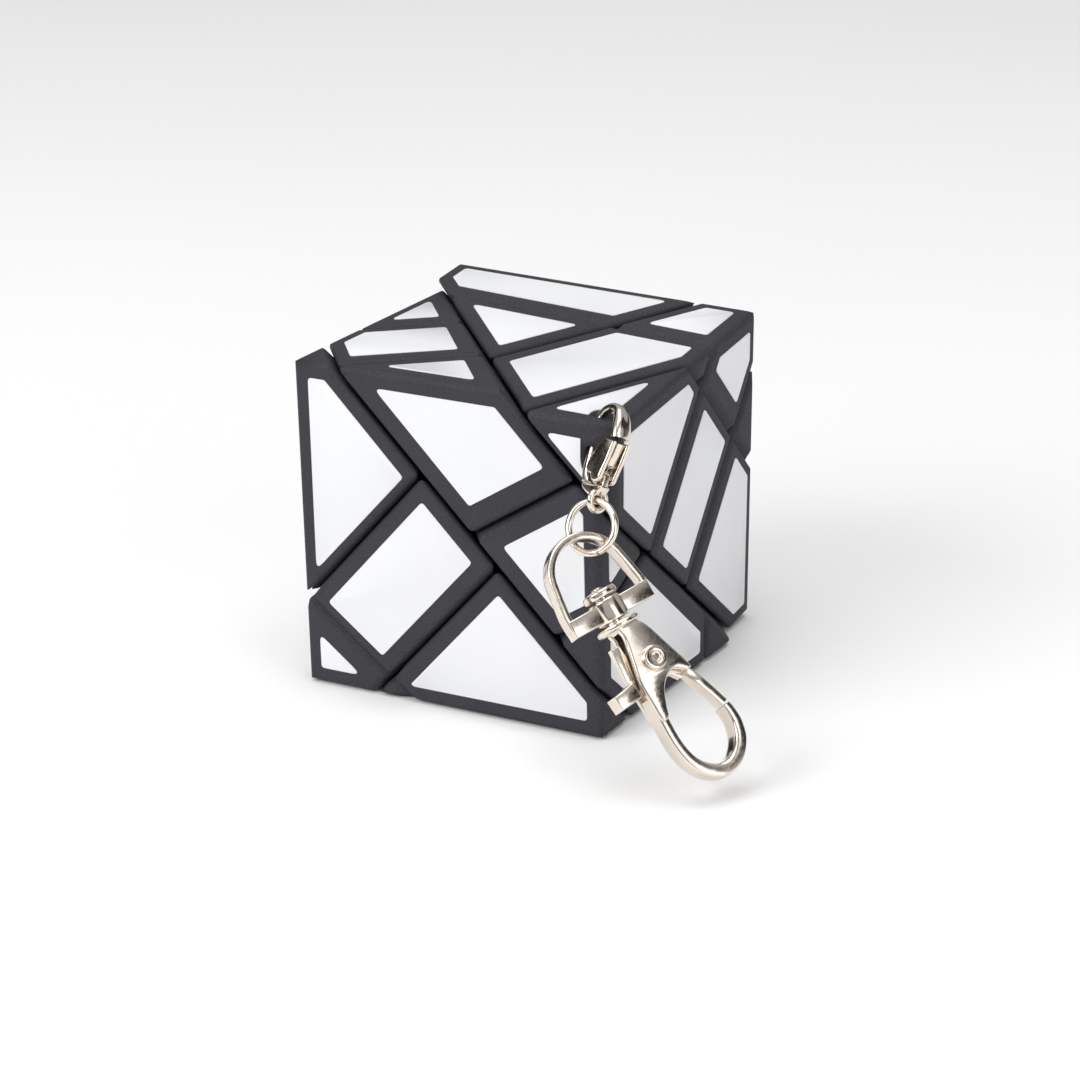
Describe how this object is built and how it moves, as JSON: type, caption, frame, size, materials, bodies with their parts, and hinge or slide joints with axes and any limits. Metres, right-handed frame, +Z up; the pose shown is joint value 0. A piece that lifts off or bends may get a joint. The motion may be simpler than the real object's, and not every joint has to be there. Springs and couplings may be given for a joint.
{
  "type": "twisty puzzle cube",
  "caption": "Small cube-shaped twisty puzzle whose layers are cut askew, with a clasp, jump ring, D-ring and swivel snap hook hanging from one corner.",
  "frame": {"origin": "centre of the cube's bottom face, on the surface it stands on", "axes": "+Z up; -Y out of the cube's front face and +X out of its right face; the hardware hangs at the corner of +X, -Y and +Z"},
  "size_m": [0.0609, 0.0557, 0.0421],
  "materials": {
    "black_plastic": "grainy matte black, rounded edges, as from powder sintering",
    "core_plastic": "plain matte black",
    "sticker_white": "satin white vinyl",
    "steel": "zinc-plated",
    "bright_nickel": "polished nickel plate with a slightly warm tint"
  },
  "bodies": {
    "middle_layer": {"core": "core_plastic", "screw_1": "steel", "screw_2": "steel", "screw_3": "steel", "screw_4": "steel", "screw_5": "steel", "screw_6": "steel", "spring_1": "steel", "spring_2": "steel", "spring_3": "steel", "spring_4": "steel", "spring_5": "steel", "spring_6": "steel", "middle_centre_1": "black_plastic", "middle_centre_2": "black_plastic", "middle_centre_3": "black_plastic", "middle_centre_4": "black_plastic", "middle_edge_1": "black_plastic", "middle_edge_2": "black_plastic", "middle_edge_3": "black_plastic", "middle_edge_4": "black_plastic"},
    "upper_layer": {"upper_centre": "black_plastic", "upper_edge_1": "black_plastic", "upper_edge_2": "black_plastic", "upper_edge_3": "black_plastic", "upper_edge_4": "black_plastic", "upper_corner_1": "black_plastic", "upper_corner_2": "black_plastic", "upper_corner_3": "black_plastic", "upper_corner_hanging": "black_plastic"},
    "lower_layer": {"lower_centre": "black_plastic", "lower_edge_1": "black_plastic", "lower_edge_2": "black_plastic", "lower_edge_3": "black_plastic", "lower_edge_4": "black_plastic", "lower_corner_1": "black_plastic", "lower_corner_2": "black_plastic", "lower_corner_3": "black_plastic", "lower_corner_4": "black_plastic"},
    "clasp": {"clasp_body": "bright_nickel"},
    "clasp_lever": {"clasp_lever": "bright_nickel"},
    "jump_ring": {"jump_ring": "bright_nickel"},
    "d_ring": {"d_ring": "bright_nickel"},
    "hook": {"hook_body": "bright_nickel", "hook_rivet": "bright_nickel"},
    "trigger": {"hook_trigger": "bright_nickel"}
  },
  "joints": [
    {"name": "upper_turn", "type": "hinge", "parent": "middle_layer", "child": "upper_layer", "pos_m": [0, 0, 0.02], "axis": [0.607, 0.513, 0.607], "continuous": true},
    {"name": "lower_turn", "type": "hinge", "parent": "middle_layer", "child": "lower_layer", "pos_m": [0, 0, 0.02], "axis": [-0.607, -0.513, -0.607], "continuous": true},
    {"name": "clasp_swing", "type": "hinge", "parent": "upper_layer", "child": "clasp", "pos_m": [0.01895, -0.01858, 0.03579], "axis": [-0.0131, -0.4875, -0.873], "range_deg": [-4, 25]},
    {"name": "clasp_lever_press", "type": "hinge", "parent": "clasp", "child": "clasp_lever", "pos_m": [0.02165, -0.02176, 0.03254], "axis": [-0.3967, -0.7989, 0.4521], "range_deg": [0, 7], "stiffness_Nm_per_rad": 0.001, "springref_deg": -11.46},
    {"name": "jump_ring_swing", "type": "hinge", "parent": "clasp", "child": "jump_ring", "pos_m": [0.02152, -0.02306, 0.03012], "axis": [-0.9976, 0.0674, 0.0135], "range_deg": [-5, 40]},
    {"name": "d_ring_swing", "type": "hinge", "parent": "jump_ring", "child": "d_ring", "pos_m": [0.02129, -0.02545, 0.02484], "axis": [-0.9976, 0.0674, 0.0135], "range_deg": [-10, 60]},
    {"name": "hook_swivel", "type": "hinge", "parent": "d_ring", "child": "hook", "pos_m": [0.02525, -0.02767, 0.01953], "axis": [0.6183, -0.0812, -0.7817], "continuous": true},
    {"name": "trigger_press", "type": "hinge", "parent": "hook", "child": "trigger", "pos_m": [0.02986, -0.02748, 0.01433], "axis": [-0.6751, 0.4544, -0.5812], "range_deg": [0, 18], "stiffness_Nm_per_rad": 0.005, "springref_deg": -11.46}
  ]
}
